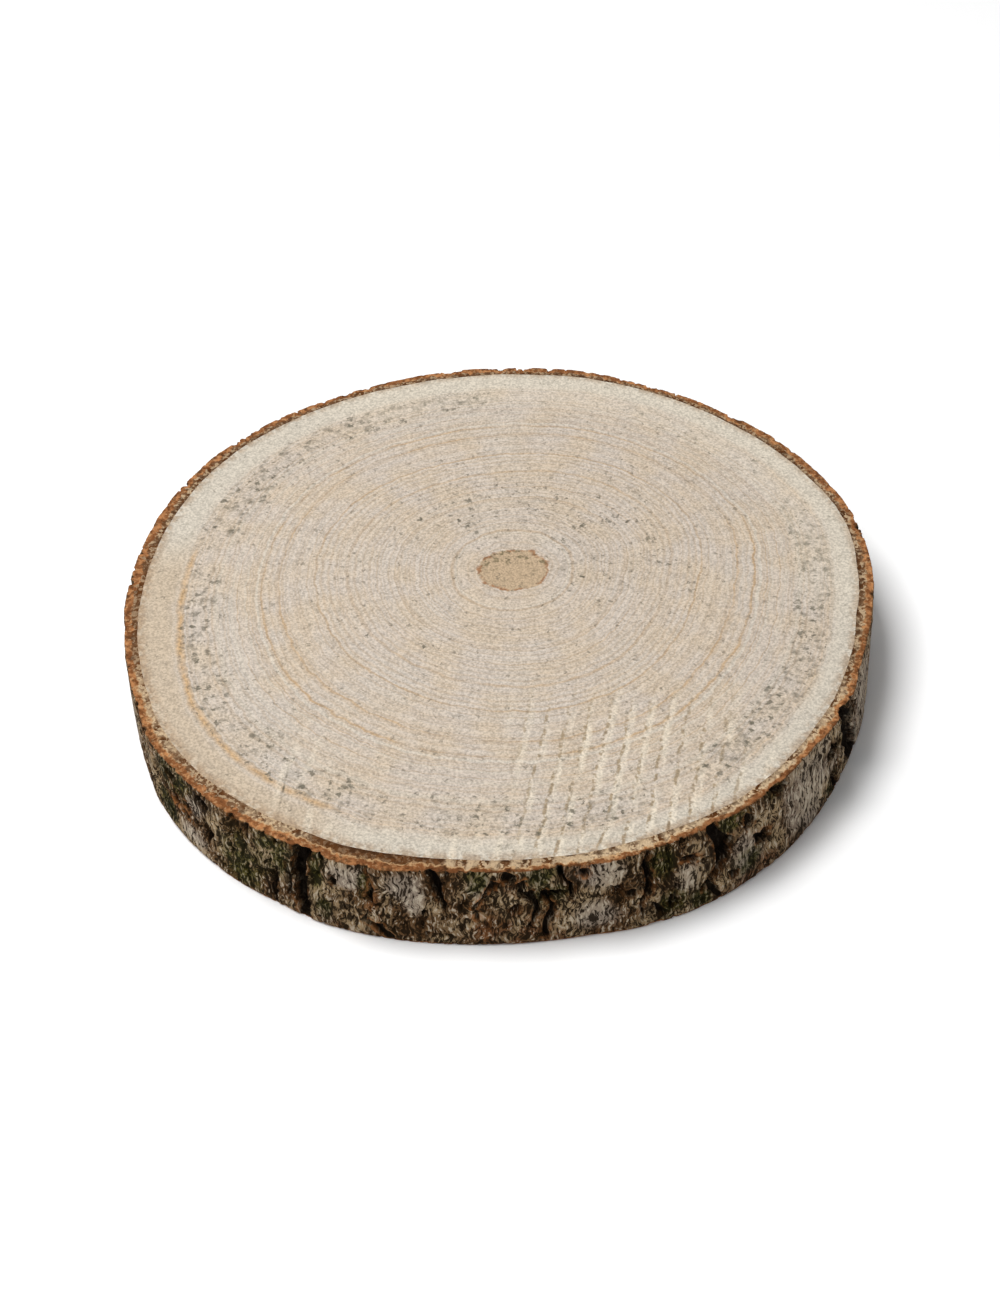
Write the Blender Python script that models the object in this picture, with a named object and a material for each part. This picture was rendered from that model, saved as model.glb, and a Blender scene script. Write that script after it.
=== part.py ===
"""Wood slice: one disc sawn across a small trunk, flat on both faces, with its bark left on.

It grew as one piece, so it is one solid. The origin is the middle of the underside, with +Z up.
"""

import math

import bmesh
import bpy
from mathutils import Matrix, Vector, noise

# Driving dimensions, in metres.
MEAN_RADIUS = 0.1180
THICKNESS = 0.0300
# The outline bulges more to one side, so the trunk's middle stands a little off the origin, which
# is the middle of the slice's box.
TRUNK_MIDDLE = Vector((-0.0007, -0.0004, 0.0))

# The trunk isn't quite round. Each row is how many times a wave goes round it, the wave's height
# and the bearing of a crest in degrees, counted from +X towards +Y.
TRUNK_WAVES = (
    (2, 0.0029, 53.0),
    (3, 0.0005, 23.0),
    (4, 0.0009, 39.0),
    (5, 0.0007, 14.0),
    (6, 0.0003, 16.0),
)
OUTLINE_POINTS = 240
SIDE_ROWS = 8

# The saw didn't run square across the trunk, so its side leans. Each row is the first and the last
# bearing of a lean in degrees, how many degrees it takes to fade out beyond them, and how far the
# foot stands out from the top edge.
SIDE_LEANS = (
    (-174.0, -124.0, 10.0, -0.0023),
    (-64.0, -15.0, 17.0, 0.0018),
)

# The bark's plates swell and sink a little, in patches that are taller than they are wide.
PLATE_RELIEF = 0.0011
PLATE_WIDTH = 0.0090
PLATE_HEIGHT = 0.0170

# Fissures between the plates. Each row is the bearing in degrees and the height in millimetres of
# the top end, the same two for the bottom end, then the width and the depth in millimetres.
FISSURES = (
    (-143.0, 18.0, -139.0, 11.0, 4.0, 2.4),
    (-126.0, 42.0, -126.3, 21.0, 1.8, 2.2),
    (-119.7, 42.0, -116.5, -12.0, 6.0, 3.6),
    (-107.6, 19.0, -105.6, -12.0, 3.2, 2.4),
    (-98.9, 42.0, -97.0, 12.0, 4.6, 3.0),
    (-89.2, 27.0, -92.6, 17.0, 3.4, 2.6),
    (-86.2, 23.0, -81.3, -12.0, 3.0, 2.6),
    (-81.0, 42.0, -80.3, 16.0, 2.8, 2.8),
    (-69.4, 42.0, -67.2, 11.0, 3.4, 3.0),
    (-69.5, 11.0, -67.5, -12.0, 2.2, 2.2),
    (-53.0, 29.0, -58.6, -12.0, 5.0, 3.2),
    (-48.0, 23.0, -47.0, 16.0, 4.2, 2.2),
    (-22.0, 26.0, -30.2, 9.0, 4.6, 3.2),
    (-24.0, 8.0, -30.0, -12.0, 3.2, 2.4),
    (-9.0, 42.0, -6.0, 6.0, 3.0, 2.6),
    (6.5, 21.0, 4.0, -12.0, 3.6, 2.8),
    (18.0, 42.0, 21.5, -12.0, 4.4, 3.0),
    (31.0, 26.0, 29.0, 4.0, 2.8, 2.4),
    (40.4, 42.0, 43.0, 12.0, 3.4, 2.8),
    (48.7, 42.0, 46.5, -12.0, 4.6, 3.2),
    (63.0, 42.0, 66.0, 8.0, 3.0, 2.4),
    (75.0, 18.0, 72.5, -12.0, 3.6, 2.6),
    (86.0, 42.0, 88.5, -12.0, 4.8, 3.2),
    (101.0, 25.0, 98.0, 2.0, 3.0, 2.4),
    (113.0, 42.0, 116.0, 10.0, 3.8, 2.8),
    (124.0, 20.0, 121.5, -12.0, 3.2, 2.6),
    (136.0, 42.0, 138.0, -12.0, 4.6, 3.0),
    (151.3, 42.0, 149.0, 9.0, 3.0, 2.6),
    (163.0, 24.0, 166.0, -12.0, 4.0, 3.0),
    (176.3, 42.0, 174.0, 5.0, 3.2, 2.6),
    (-168.0, 22.0, -170.5, -12.0, 3.6, 2.8),
    (-156.0, 42.0, -153.5, 7.0, 3.0, 2.6),
)

# A fissure's cutter is a stretched ball, so a fissure is a rounded trough that fades at both ends.
CUTTER_SEGMENTS = 8
CUTTER_RINGS = 8

BARK_COLOUR = (0.17, 0.14, 0.11, 1.0)
WELD_DISTANCE = 0.00005


def new_collection(name):
    """Adds a collection to the scene."""
    collection = bpy.data.collections.new(name)
    bpy.context.scene.collection.children.link(collection)
    return collection


def trunk_radius(bearing):
    """The trunk's radius out to the bark, without its plates, at a bearing in radians."""
    radius = MEAN_RADIUS
    for turns, height, crest in TRUNK_WAVES:
        radius += height * math.cos(turns * (bearing - math.radians(crest)))
    return radius


def side_lean(bearing, height):
    """How far the side stands out from the top edge, in even steps down to the foot."""
    lean = 0.0
    for first, last, fade, foot in SIDE_LEANS:
        middle = math.radians((first + last) / 2)
        away = abs(math.remainder(bearing - middle, 2 * math.pi)) - math.radians((last - first) / 2)
        part = min(max(1.0 - away / math.radians(fade), 0.0), 1.0)
        lean += foot * part * part * (3.0 - 2.0 * part)
    return lean * (1.0 - height / THICKNESS)


def on_trunk(bearing, height):
    """The point on the trunk's side at a bearing and a height."""
    radius = trunk_radius(bearing) + side_lean(bearing, height)
    from_middle = Vector((radius * math.cos(bearing), radius * math.sin(bearing), height))
    return TRUNK_MIDDLE + from_middle


def wood_material():
    """Bark-brown wood, dull all over."""
    material = bpy.data.materials.new("wood_and_bark")
    material.use_nodes = True
    shader = material.node_tree.nodes["Principled BSDF"]
    shader.inputs["Base Color"].default_value = BARK_COLOUR
    shader.inputs["Roughness"].default_value = 0.9
    shader.inputs["Metallic"].default_value = 0.0
    material.diffuse_color = BARK_COLOUR
    return material


def outline_curve():
    """The slice's outline as a filled flat curve with the slice's thickness."""
    curve = bpy.data.curves.new("slice_outline", "CURVE")
    curve.dimensions = "2D"
    curve.fill_mode = "BOTH"
    curve.extrude = THICKNESS / 2
    spline = curve.splines.new("POLY")
    spline.points.add(OUTLINE_POINTS - 1)
    for index, point in enumerate(spline.points):
        place = on_trunk(2 * math.pi * index / OUTLINE_POINTS, THICKNESS)
        point.co = (place.x, place.y, 0.0, 1.0)
    spline.use_cyclic_u = True
    outline = bpy.data.objects.new("slice_outline", curve)
    outline.location.z = THICKNESS / 2
    return outline


def mesh_from_curve(outline, name, collection):
    """Makes a welded mesh object out of a curve object, in the same place, and removes the curve."""
    collection.objects.link(outline)
    bpy.context.view_layer.update()
    evaluated = outline.evaluated_get(bpy.context.evaluated_depsgraph_get())
    mesh = bpy.data.meshes.new_from_object(evaluated)
    made = bpy.data.objects.new(name, mesh)
    made.matrix_world = outline.matrix_world.copy()
    collection.objects.link(made)
    bpy.data.objects.remove(outline)
    shape = bmesh.new()
    shape.from_mesh(mesh)
    bmesh.ops.remove_doubles(shape, verts=shape.verts, dist=WELD_DISTANCE)
    shape.to_mesh(mesh)
    shape.free()
    return made


def is_upright(edge):
    """Whether an edge runs up the side of the slice."""
    first, second = edge.verts
    return abs(first.co.z - second.co.z) > THICKNESS / 2


def plate_relief(bearing, height):
    """How far the bark stands out of the trunk's radius, from its patches."""
    around = Vector((math.cos(bearing), math.sin(bearing), 0.0)) * (MEAN_RADIUS / PLATE_WIDTH)
    place = around + Vector((0.0, 0.0, height / PLATE_HEIGHT))
    return PLATE_RELIEF * noise.noise(place, noise_basis="PERLIN_ORIGINAL")


def add_bark_relief(slice_object):
    """Divides the side into rows and moves its points in or out, level with where they are."""
    mesh = slice_object.data
    lift = slice_object.location.z
    shape = bmesh.new()
    shape.from_mesh(mesh)
    for side in (-1, 1):
        sawn_face = [face for face in shape.faces if face.normal.z * side > 0.5]
        bmesh.ops.dissolve_faces(shape, faces=sawn_face)
    uprights = [edge for edge in shape.edges if is_upright(edge)]
    bmesh.ops.subdivide_edges(shape, edges=uprights, cuts=SIDE_ROWS - 1, use_grid_fill=True)
    for vertex in shape.verts:
        bearing = math.atan2(vertex.co.y - TRUNK_MIDDLE.y, vertex.co.x - TRUNK_MIDDLE.x)
        height = vertex.co.z + lift
        outwards = Vector((math.cos(bearing), math.sin(bearing), 0.0))
        vertex.co += outwards * (plate_relief(bearing, height) + side_lean(bearing, height))
    bmesh.ops.recalc_face_normals(shape, faces=shape.faces)
    shape.to_mesh(mesh)
    shape.free()


def add_fissure_cutter(index, fissure, collection):
    """A ball on the bark, stretched from one end of the fissure to the other."""
    top_bearing, top_mm, low_bearing, low_mm, width_mm, depth_mm = fissure
    top = on_trunk(math.radians(top_bearing), top_mm / 1000)
    low = on_trunk(math.radians(low_bearing), low_mm / 1000)
    middle = (top + low) / 2
    up = (top - low).normalized()
    across = up.cross(Vector((middle.x, middle.y, 0.0))).normalized()
    outwards = across.cross(up)

    bpy.ops.mesh.primitive_uv_sphere_add(segments=CUTTER_SEGMENTS, ring_count=CUTTER_RINGS, radius=1.0)
    cutter = bpy.context.object
    cutter.name = f"fissure_cutter_{index:02d}"
    reach = (width_mm / 2000, depth_mm / 1000, (top - low).length / 2, 1.0)
    cutter.data.transform(Matrix.Diagonal(reach))
    turn = Matrix((-across, outwards, up)).transposed().to_4x4()
    cutter.matrix_world = Matrix.Translation(middle) @ turn
    cutter.hide_render = True
    cutter.display_type = "WIRE"
    for owner in list(cutter.users_collection):
        owner.objects.unlink(cutter)
    collection.objects.link(cutter)


def cut_fissures(slice_object, cutters):
    """Cuts every fissure out of the bark, and welds the slivers that the cuts leave."""
    cut = slice_object.modifiers.new("bark_fissures", "BOOLEAN")
    cut.operation = "DIFFERENCE"
    cut.solver = "EXACT"
    cut.operand_type = "COLLECTION"
    cut.collection = cutters
    clean = slice_object.modifiers.new("weld_slivers", "WELD")
    clean.merge_threshold = WELD_DISTANCE


def build():
    """Builds the wood slice."""
    for old in list(bpy.data.objects):
        bpy.data.objects.remove(old)
    part = new_collection("wood_slice")
    cutters = new_collection("fissure_cutters")
    slice_object = mesh_from_curve(outline_curve(), "wood_slice", part)
    add_bark_relief(slice_object)
    slice_object.data.materials.append(wood_material())
    for index, fissure in enumerate(FISSURES):
        add_fissure_cutter(index, fissure, cutters)
    cut_fissures(slice_object, cutters)


build()
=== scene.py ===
import itertools
import math

import bpy
import numpy as np
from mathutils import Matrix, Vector


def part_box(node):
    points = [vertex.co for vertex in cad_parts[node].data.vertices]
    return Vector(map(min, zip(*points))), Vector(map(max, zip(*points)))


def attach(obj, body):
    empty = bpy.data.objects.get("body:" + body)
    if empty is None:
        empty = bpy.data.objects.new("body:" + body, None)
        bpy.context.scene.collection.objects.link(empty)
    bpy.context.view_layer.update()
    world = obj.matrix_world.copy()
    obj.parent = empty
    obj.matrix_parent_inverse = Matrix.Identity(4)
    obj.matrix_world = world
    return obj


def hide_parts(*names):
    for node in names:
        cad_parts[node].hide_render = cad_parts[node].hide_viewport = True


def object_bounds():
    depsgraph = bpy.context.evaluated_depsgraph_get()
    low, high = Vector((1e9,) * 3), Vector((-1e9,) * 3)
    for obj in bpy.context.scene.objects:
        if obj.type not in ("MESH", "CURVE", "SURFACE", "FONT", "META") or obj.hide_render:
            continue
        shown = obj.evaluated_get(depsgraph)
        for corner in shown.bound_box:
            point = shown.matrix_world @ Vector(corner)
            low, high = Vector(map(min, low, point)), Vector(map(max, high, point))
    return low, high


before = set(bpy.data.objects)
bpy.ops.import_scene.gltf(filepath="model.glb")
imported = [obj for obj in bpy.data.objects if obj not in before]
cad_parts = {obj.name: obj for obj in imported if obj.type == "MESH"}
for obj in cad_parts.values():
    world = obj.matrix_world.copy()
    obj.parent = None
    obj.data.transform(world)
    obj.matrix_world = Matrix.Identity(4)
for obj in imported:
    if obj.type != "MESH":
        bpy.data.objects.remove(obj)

# The wood slice's looks. Two closed pieces stand for the one grown piece: the wood, with its two
# sawn faces, and the bark round it, whose inner wall is the wood's own edge.

CAD_LOW, CAD_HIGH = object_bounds()
MM = 0.001

# ----------------------------------------------------------------
# Shape of the trunk

NODE = "wood_slice"
BOX_LOW, BOX_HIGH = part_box(NODE)
THICKNESS = BOX_HIGH.z - BOX_LOW.z
BARK_RADIUS = (BOX_HIGH.x - BOX_LOW.x + BOX_HIGH.y - BOX_LOW.y) / 4
TRUNK_MIDDLE = np.array([-0.7, -0.4]) * MM

# Waves round the outline: how many, how high, and the bearing of a crest in degrees from +X to +Y.
BARK_WAVES = (
    (2, 2.9 * MM, 53), (3, 0.5 * MM, 23), (4, 0.9 * MM, 39), (5, 0.7 * MM, 14), (6, 0.3 * MM, 16)
)
WOOD_RADIUS = BARK_RADIUS - 4.3 * MM
WOOD_WAVES = (
    (1, 1.0 * MM, 74), (2, 2.4 * MM, 53), (4, 1.3 * MM, 38), (5, 0.8 * MM, 15), (6, 0.4 * MM, 12)
)
# The pith stands off the middle of the trunk, and the rings round it drift back to the middle.
PITH = np.array([4.5, 13.3]) * MM
PITH_DRIFT = 2.6
PITH_SIZE = 0.095

# What happens on one side only is told by rows of four: how strong or how far out it is, its first and
# last bearing in degrees, and over how many degrees it fades beyond them.
#
# How far the side's foot stands out from its top, and how far the whole side stands out.
FOOT_LEANS = ((-1.5 * MM, -174, -124, 10), (1.8 * MM, -64, -15, 17))
SIDE_SHIFTS = ((-0.9 * MM, -171, -157, 8),)
# How far the sawn edge of the bark, and that of the wood inside it, stand out from the waves above.
RIM_SHIFTS = (
    (0.7 * MM, -151, -143, 6), (1.1 * MM, -112, -107, 5), (-0.6 * MM, -98, -82, 6),
    (-0.8 * MM, -66, -40, 8), (1.3 * MM, -28, -21, 6), (-0.7 * MM, 52, 64, 8), (-0.4 * MM, 96, 130, 10),
)
WOOD_SHIFTS = (
    (0.7 * MM, -151, -139, 6), (1.2 * MM, -112, -78, 9), (0.4 * MM, -92, -84, 5),
    (-0.7 * MM, -62, -42, 8), (1.2 * MM, -25, -12, 8), (0.7 * MM, 15, 24, 8), (-0.5 * MM, 84, 130, 9),
)

# ----------------------------------------------------------------
# How finely the pieces are divided

SAWN_FACE_CELLS = 218
BARK_COLUMNS = 1400
RIM_ROWS = 8
SIDE_ROWS = 54
BASE_ROWS = 6


def waves(mean, table, bearing):
    """A radius at a bearing in radians: a mean with waves round it."""
    radius = np.full_like(bearing, mean)
    for count, height, crest in table:
        radius += height * np.cos(count * (bearing - math.radians(crest)))
    return radius


def smooth_step(value):
    """0 below 0, 1 above 1, and a smooth rise between."""
    part = np.clip(value, 0.0, 1.0)
    return part * part * (3.0 - 2.0 * part)


def bump_at(value, middle, reach):
    """1 at the middle, falling smoothly to 0 this far from it."""
    return smooth_step(1.0 - np.abs(value - middle) / reach)


def around(bearing, middle):
    """The signed angle to each bearing in radians from a middle one in degrees."""
    return (bearing - math.radians(middle) + math.pi) % (2 * math.pi) - math.pi


def on_sides(bearing, *rows):
    """The sum of what rows of strength, first bearing, last bearing and fade give at each bearing."""
    total = 0.0
    for strength, first, last, fade in rows:
        away = np.abs(around(bearing, (first + last) / 2))
        half = math.radians((last - first) / 2)
        total = total + strength * smooth_step(1.0 - (away - half) / math.radians(fade))
    return total


def place_on(radius, bearing, height):
    """Points at a radius and a bearing round the trunk's middle, at a height."""
    x = radius * np.cos(bearing)
    y = radius * np.sin(bearing)
    return np.stack([x, y, height + np.zeros_like(x)], axis=-1)


def scrambled(cell, seed):
    """A repeatable number from 0 to 1 for each cell of a lattice."""
    mixed = cell[..., 0] * 374761393 + cell[..., 1] * 668265263
    mixed = (mixed + cell[..., 2] * 2147483647 + seed * 1013904223) & 0xFFFFFFFF
    for shift in (15, 13):
        mixed = ((mixed ^ (mixed >> shift)) * 1274126177) & 0xFFFFFFFF
    return (mixed ^ (mixed >> 16)) / 0xFFFFFFFF


def lumps(points, size, seed):
    """Smooth noise from -1 to 1, with lumps of a size that may differ along X, Y and Z."""
    place = points / np.asarray(size)
    cell = np.floor(place).astype(np.int64)
    part = place - cell
    ease = part ** 3 * (part * (part * 6.0 - 15.0) + 10.0)
    total = np.zeros(points.shape[:-1])
    for corner in itertools.product((0, 1), repeat=3):
        weight = np.prod(np.where(corner, ease, 1.0 - ease), axis=-1)
        total += weight * scrambled(cell + np.array(corner), seed)
    return 2.0 * total - 1.0


def rough_lumps(points, size, octaves, seed):
    """Lumps with finer and weaker lumps on them."""
    size = np.asarray(size, float)
    total = np.zeros(points.shape[:-1])
    for octave in range(octaves):
        total += lumps(points, size / 2 ** octave, seed + octave) / 2 ** octave
    return total / (2.0 - 2.0 ** (1 - octaves))


# ----------------------------------------------------------------
# Bark: fissures between its plates
#
# Each fissure is its depth in millimetres, how much raw orange bark shows on its walls from 0 to 1,
# and its points: bearing in degrees, height in millimetres and width there in millimetres.

FISSURES = (
    (2.6, 0.8, ((-143.0, 18, 2.0), (-141.0, 15, 3.2), (-138.5, 12, 1.4))),
    (2.0, 0.1, ((-135.5, 18, 1.0), (-134.8, 13, 2.2), (-135.0, 10, 0.8))),
    (2.8, 0.1, ((-126.6, 32, 1.6), (-126.3, 25, 1.3), (-125.6, 21, 0.5))),
    (2.8, 0.0, ((-122.6, 17, 0.8), (-123.0, 10, 1.6), (-123.4, 3, 1.2), (-123.2, -1, 0.6))),
    (3.8, 0.5, ((-117.6, 32, 5.6), (-118.2, 22, 4.2), (-118.6, 12, 4.0), (-118, 2, 3.6), (-117.6, -2, 4.0))),
    (1.8, 0.2, ((-120.2, 20, 0.9), (-120.0, 12, 1.2), (-120.4, 7, 0.6))),
    (2.2, 0.0, ((-114.8, 31, 2.6), (-114.9, 27, 0.8))),
    (2.0, 0.2, ((-112.6, 22, 1.2), (-112.4, 19, 1.4))),
    (2.0, 0.6, ((-107.4, 28, 0.7), (-107.9, 21, 1.2), (-107.6, 14, 1.4), (-108.2, 7, 0.9))),
    (2.4, 0.9, ((-107.4, 6, 1.6), (-105.6, 2, 2.6), (-104.6, -1, 1.8))),
    (3.4, 0.3, ((-99.9, 32, 2.8), (-98.7, 27, 3.0), (-98.0, 21, 2.0), (-97.6, 14, 0.9))),
    (2.6, 0.1, ((-96.8, 32, 1.2), (-97.2, 26, 1.0), (-98.0, 22, 1.2))),
    (2.0, 0.1, ((-100.4, 12, 1.0), (-100.5, 7, 0.9))),
    (1.2, 0.2, ((-99.6, 5, 0.5), (-99.4, -1, 0.6))),
    (2.4, 1.0, ((-89.6, 25, 1.2), (-91.0, 22, 1.0), (-91.6, 20, 0.8))),
    (1.6, 1.0, ((-91.4, 20, 0.9), (-93.0, 16, 0.9), (-92.2, 11, 0.6))),
    (1.4, 0.4, ((-91.6, 12, 0.6), (-91.4, 5, 0.7), (-91.8, -1, 0.5))),
    (2.6, 0.3, ((-86.8, 21, 2.4), (-85.0, 17, 1.8), (-84.6, 13, 1.4), (-85.4, 7, 0.5))),
    (1.6, 0.5, ((-88.4, 14, 1.2), (-87.2, 13, 1.4))),
    (2.6, 0.5, ((-83.6, 21, 2.0), (-82.8, 16, 1.8), (-82.8, 10, 1.5), (-83.0, 2, 1.3))),
    (3.2, 0.2, ((-81.3, 32, 2.0), (-80.8, 26, 1.8), (-80.0, 22, 1.4), (-80.4, 17, 0.6))),
    (3.0, 0.5, ((-68.6, 32, 1.6), (-68.9, 26, 1.8), (-68.0, 20, 2.2), (-68.8, 13, 1.7), (-69.4, 10, 0.6))),
    (1.6, 0.2, ((-69.4, 10, 0.6), (-69.0, 4, 1.0), (-69.8, -1, 0.8))),
    (1.8, 0.1, ((-67.4, 8, 1.0), (-66.0, 5, 1.6), (-66.0, 1, 0.8))),
    (1.4, 0.2, ((-74.2, 20, 0.8), (-72.8, 17, 1.2), (-71.0, 14, 1.1), (-69.8, 16, 0.8))),
    (1.6, 0.1, ((-63.8, 12, 0.9), (-63.4, 5, 1.1))),
    (1.8, 0.9, ((-62.6, 21, 1.4), (-60.8, 20, 1.6))),
    (3.6, 0.5, ((-58.4, 32, 2.6), (-57.6, 27, 3.2), (-56.0, 20, 5.0), (-57.2, 13, 3.8), (-59.4, 7, 2.4))),
    (2.4, 0.3, ((-58.6, 8, 1.6), (-57.2, 3, 2.2), (-56.6, -1, 2.0))),
    (2.0, 0.3, ((-51.6, 27, 1.0), (-50.6, 24, 1.8), (-51.4, 22, 1.0))),
    (2.2, 0.4, ((-50.2, 17, 1.4), (-48.6, 15, 2.4), (-47.2, 12, 0.9))),
    (2.4, 0.1, ((-46.6, 29, 1.6), (-44.6, 27, 2.2), (-43.4, 29, 1.2))),
    (1.2, 0.1, ((-43.9, 19, 0.5), (-44.4, 12, 0.6))),
    (3.0, 0.1, ((-30.6, 22, 2.4), (-28.2, 20, 2.6), (-27.2, 16, 1.0))),
    (3.4, 0.1, ((-26.8, 32, 5.0), (-25.2, 24, 7.6), (-23.6, 15, 7.0), (-21.4, 7, 7.6), (-19.0, -1, 6.6))),
    (2.4, 0.2, ((-29.8, 10, 1.8), (-28.6, 4, 3.0), (-27.6, -1, 3.2))),
    (1.8, 0.3, ((-9.0, 26, 1.4), (-7.8, 18, 2.2), (-6.0, 8, 1.0))),
    (2.8, 0.6, ((7.0, 22, 1.0), (5.4, 10, 3.2), (4.0, -1, 3.4))),
    (3.4, 0.4, ((17.8, 32, 3.4), (19.4, 20, 3.0), (20.2, 9, 2.6), (22.0, -1, 3.2))),
    (2.4, 0.2, ((31.2, 26, 1.2), (29.6, 14, 2.6), (29.2, 5, 0.8))),
    (2.8, 0.5, ((40.2, 32, 2.6), (41.4, 22, 2.4), (43.0, 13, 0.8))),
    (3.4, 0.3, ((49.0, 32, 3.6), (47.0, 20, 3.8), (47.8, 9, 2.6), (46.2, -1, 3.6))),
    (2.4, 0.7, ((62.8, 32, 2.2), (64.6, 20, 2.4), (66.2, 9, 0.8))),
    (2.6, 0.3, ((75.2, 20, 0.9), (73.2, 9, 3.0), (72.4, -1, 3.2))),
    (3.4, 0.5, ((85.6, 32, 3.8), (87.6, 21, 3.2), (86.8, 9, 3.4), (88.8, -1, 3.0))),
    (2.4, 0.2, ((101.4, 26, 0.9), (99.2, 15, 2.6), (98.0, 4, 0.8))),
    (2.8, 0.6, ((112.6, 32, 3.0), (114.4, 22, 2.8), (116.0, 11, 0.8))),
    (2.6, 0.2, ((124.2, 21, 0.8), (122.4, 10, 2.6), (121.2, -1, 2.8))),
    (3.2, 0.4, ((135.6, 32, 3.6), (137.4, 21, 3.4), (136.6, 10, 2.8), (138.4, -1, 3.2))),
    (2.6, 0.7, ((151.6, 32, 2.2), (150.2, 20, 2.4), (149.0, 10, 0.8))),
    (3.0, 0.3, ((162.8, 25, 0.9), (164.6, 13, 3.4), (166.2, -1, 3.4))),
    (2.6, 0.4, ((176.6, 32, 2.4), (175.0, 19, 2.6), (174.0, 6, 0.9))),
    (2.8, 0.5, ((-168.0, 23, 0.9), (-169.6, 11, 3.0), (-170.6, -1, 3.0))),
    (2.6, 0.2, ((-156.4, 32, 2.2), (-154.6, 20, 2.4), (-153.4, 8, 0.9))),
)
WALL_WIDTH = 0.8 * MM
LIP_WIDTH = 0.9 * MM
LEAST_BARK = 0.9 * MM
CREST = 2.3 * MM
WORN_FLAT = 0.6 * MM
# Fissures fade out towards the sawn edges, where a tough rim of bark is left standing.
RIM_HOLD = 3.0 * MM
FOOT_HOLD = 4.0 * MM
# The foot is smoothed over this height, and the sawn edges have crumbled by about this much.
FOOT_EASE = 2.5 * MM
EDGE_WEAR = 0.32 * MM

# Hollows in the bark: bearing in degrees, height, half-width and half-height in millimetres, and
# how much raw bark shows round them from 0 to 1.
HOLLOWS = (
    (-89.0, 27, 2.4, 2.6, 1.0), (-90.6, 23.6, 1.7, 2.4, 1.0), (-86.6, 24.4, 1.6, 2.2, 0.8),
    (-87.2, 14.4, 1.8, 1.4, 0.6), (-85.4, 19.4, 1.8, 2.8, 0.3), (-72.8, 18, 1.7, 1.6, 0.4),
    (-71.2, 14.6, 1.5, 1.7, 0.4), (-61.8, 20.6, 2.8, 1.4, 1.0), (-51.0, 24.4, 2.0, 2.4, 0.5),
    (-48.4, 14.8, 2.8, 2.4, 0.6), (-45.0, 27.6, 2.8, 1.8, 0.2), (-112.6, 20.6, 1.5, 1.8, 0.3),
    (-134.6, 14, 1.9, 2.8, 0.1), (-135.4, 26.4, 3.0, 2.4, 0.0), (-143.4, 25, 2.6, 3.8, 0.1),
    (-142.0, 14.6, 3.6, 2.2, 0.9), (-106.4, 4.4, 1.6, 2.0, 1.0), (-128.8, 29, 1.5, 1.6, 0.9),
    (-121.6, 27.6, 1.1, 1.5, 0.1), (-30.2, 20, 3.8, 3.4, 0.1), (-110.6, 12, 0.9, 1.3, 0.1),
    (-82.8, 19.4, 3.4, 2.2, 0.1), (-64.4, 7, 1.2, 3.0, 0.1), (-139.2, 17.5, 1.8, 1.8, 0.8),
    (-104.6, 14.6, 0.7, 1.6, 0.5), (-78.0, 27, 1.4, 1.8, 0.9), (-147.6, 21, 1.6, 2.6, 0.1),
    (-66.4, 4.5, 1.6, 2.6, 0.1), (-22.4, 24.4, 3.4, 4.8, 0.1), (-54.2, 6.0, 1.4, 1.8, 0.5),
    (-19.8, 16, 3.0, 4.8, 0.2), (-17.8, 8, 3.0, 4.6, 0.2),
)
HOLLOW_DEPTH = 2.2 * MM

# Patches on the bark: bearing in degrees, height, half-width and half-height in millimetres.
MOSS_PATCHES = (
    (-142.5, 24, 8.0, 7.5), (-146.0, 7, 4.5, 6.0), (-128.0, 11, 8.0, 11.0), (-122.5, 23, 6.0, 7.0),
    (-115.6, 21, 2.6, 8.0), (-114.6, 8, 2.2, 4.0), (-108.4, 22, 1.8, 7.0), (-93.0, 26, 3.0, 4.0),
    (-84.0, 27, 4.0, 3.5), (-82.6, 19, 4.6, 4.0), (-66.0, 23, 4.0, 6.0), (-64.6, 6, 4.2, 5.0),
    (-59.8, 4, 4.4, 4.0), (-55.0, 27, 6.0, 3.0), (-46.0, 28, 3.6, 2.2), (-29.4, 5, 3.2, 5.0),
    (-26.0, 26, 3.0, 6.0), (-51.6, 9, 5.0, 4.0), (120.0, 16, 18.0, 12.0), (160.0, 12, 14.0, 12.0),
)
GREY_PATCHES = (
    (-75.4, 25, 6.4, 5.2), (-62.0, 14, 3.6, 4.6), (-37.0, 16, 12.5, 14.0), (-111.0, 25, 5.4, 4.2),
    (-103.2, 24, 4.6, 5.0), (-92.6, 25, 3.0, 4.0), (-76.6, 9, 7.0, 5.0), (-137.0, 21, 3.6, 4.0),
    (-139.0, 6, 5.0, 4.0), (-52.0, 12, 5.0, 7.0), (-101.6, 17, 2.6, 5.0), (-15.0, 15, 16.0, 14.0),
    (10.0, 15, 14.0, 12.0), (60.0, 15, 14.0, 12.0), (95.0, 17, 12.0, 10.0), (-164.0, 14, 9.0, 10.0),
)
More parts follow.
